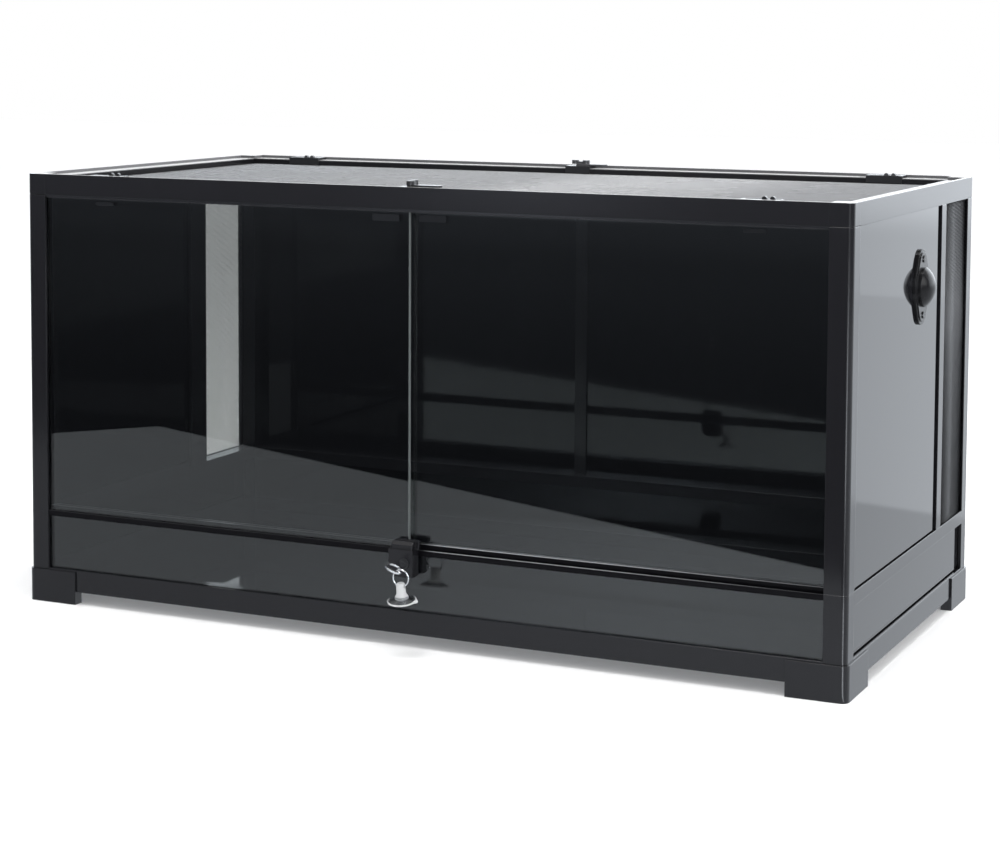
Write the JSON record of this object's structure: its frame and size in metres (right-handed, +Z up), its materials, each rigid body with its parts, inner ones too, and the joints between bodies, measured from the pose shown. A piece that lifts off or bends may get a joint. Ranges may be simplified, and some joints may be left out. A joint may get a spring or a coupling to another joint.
{
  "type": "reptile terrarium",
  "caption": "Black framed glass reptile terrarium with sliding front doors, glossy wall panels, mesh side vents, lift-out mesh lid, cable inlets, hose port and a key lock",
  "frame": {"origin": "Middle of the bounding box, on the surface the terrarium stands on", "axes": "+X along the front towards the hose port, the long way; +Y from the doors to the back; +Z up"},
  "size_m": [1.0176, 0.552, 0.5141],
  "materials": {
    "frame_plastic": "smooth, semi-gloss black",
    "panel_plastic": "high-gloss black sheet",
    "glass": "clear float glass with a faint green edge",
    "wire_mesh": "fine woven wire, dark coated",
    "steel": "bright nickel-plated steel",
    "clear_plastic": "clear soft plastic",
    "screw_steel": "black coated screw heads"
  },
  "bodies": {
    "cabinet": {"foot_front_left": "frame_plastic", "foot_front_right": "frame_plastic", "foot_rear_left": "frame_plastic", "foot_rear_right": "frame_plastic", "bottom_rail_front": "frame_plastic", "bottom_rail_rear": "frame_plastic", "bottom_rail_left": "frame_plastic", "bottom_rail_right": "frame_plastic", "base_posts": "frame_plastic", "floor_panel": "panel_plastic", "low_front_glass": "glass", "low_rear_panel": "panel_plastic", "low_left_panel": "panel_plastic", "low_right_panel": "panel_plastic", "belt_rail_rear": "frame_plastic", "belt_rail_left": "frame_plastic", "belt_rail_right": "frame_plastic", "lower_track": "frame_plastic", "post_front_left": "frame_plastic", "post_front_right": "frame_plastic", "post_rear_left": "frame_plastic", "post_rear_right": "frame_plastic", "side_panel_left": "panel_plastic", "side_panel_right": "panel_plastic", "side_divider_left": "frame_plastic", "side_divider_right": "frame_plastic", "side_mesh_left": "wire_mesh", "side_mesh_right": "wire_mesh", "back_panel_left": "panel_plastic", "back_panel_right": "panel_plastic", "back_joiner": "frame_plastic", "top_rail_front": "frame_plastic", "top_rail_rear": "frame_plastic", "top_rail_left": "frame_plastic", "top_rail_right": "frame_plastic", "upper_track": "frame_plastic", "corner_caps": "frame_plastic", "latch_seats": "frame_plastic", "inlet_guides": "frame_plastic", "port_flange": "frame_plastic", "port_screws": "screw_steel", "lock_body": "frame_plastic"},
    "left_door": {"left_door": "glass", "left_door_clips": "clear_plastic"},
    "right_door": {"right_door": "glass", "right_door_clips": "clear_plastic"},
    "lid": {"lid_frame": "frame_plastic", "lid_mesh": "wire_mesh"},
    "front_latch": {"front_latch": "frame_plastic"},
    "rear_latch": {"rear_latch": "frame_plastic"},
    "inlet_front_left": {"inlet_front_left": "frame_plastic"},
    "inlet_front_right": {"inlet_front_right": "frame_plastic"},
    "inlet_rear_left": {"inlet_rear_left": "frame_plastic"},
    "inlet_rear_right": {"inlet_rear_right": "frame_plastic"},
    "port_plug": {"port_plug": "frame_plastic"},
    "lock_cylinder": {"lock_cylinder": "steel"},
    "key": {"key": "steel"},
    "key_ring": {"key_ring": "steel"},
    "suction_cup": {"suction_cup": "clear_plastic"}
  },
  "joints": [
    {"name": "left_door_slide", "type": "slide", "parent": "cabinet", "child": "left_door", "axis": [1, 0, 0], "range_m": [0, 0.47]},
    {"name": "right_door_slide", "type": "slide", "parent": "cabinet", "child": "right_door", "axis": [-1, 0, 0], "range_m": [0, 0.47]},
    {"name": "lid_lift", "type": "slide", "parent": "cabinet", "child": "lid", "axis": [0, 0, 1], "range_m": [0, 0.07]},
    {"name": "front_latch_turn", "type": "hinge", "parent": "cabinet", "child": "front_latch", "pos_m": [-0.00675, -0.21149, 0.5075], "axis": [0, 0, 1], "range_deg": [0, 90]},
    {"name": "rear_latch_turn", "type": "hinge", "parent": "cabinet", "child": "rear_latch", "pos_m": [-0.00675, 0.25951, 0.5075], "axis": [0, 0, -1], "range_deg": [0, 90]},
    {"name": "inlet_front_left_slide", "type": "slide", "parent": "cabinet", "child": "inlet_front_left", "axis": [-1, 0, 0], "range_m": [0, 0.013]},
    {"name": "inlet_front_right_slide", "type": "slide", "parent": "cabinet", "child": "inlet_front_right", "axis": [-1, 0, 0], "range_m": [0, 0.013]},
    {"name": "inlet_rear_left_slide", "type": "slide", "parent": "cabinet", "child": "inlet_rear_left", "axis": [-1, 0, 0], "range_m": [0, 0.013]},
    {"name": "inlet_rear_right_slide", "type": "slide", "parent": "cabinet", "child": "inlet_rear_right", "axis": [-1, 0, 0], "range_m": [0, 0.013]},
    {"name": "port_pull", "type": "slide", "parent": "cabinet", "child": "port_plug", "axis": [1, 0, 0], "range_m": [0, 0.04]},
    {"name": "key_turn", "type": "hinge", "parent": "cabinet", "child": "lock_cylinder", "pos_m": [-0.00175, -0.22599, 0.0965], "axis": [0, 1, 0], "range_deg": [0, 90]},
    {"name": "key_pull", "type": "slide", "parent": "lock_cylinder", "child": "key", "axis": [0, -1, 0], "range_m": [0, 0.014]},
    {"name": "ring_swing", "type": "hinge", "parent": "key", "child": "key_ring", "pos_m": [0.00663, -0.26299, 0.09259], "axis": [0, 1, 0], "range_deg": [-110, 25]},
    {"name": "cup_swing", "type": "hinge", "parent": "key_ring", "child": "suction_cup", "pos_m": [0.00663, -0.26299, 0.07711], "axis": [1, 0, 0], "range_deg": [-20, 12]}
  ]
}
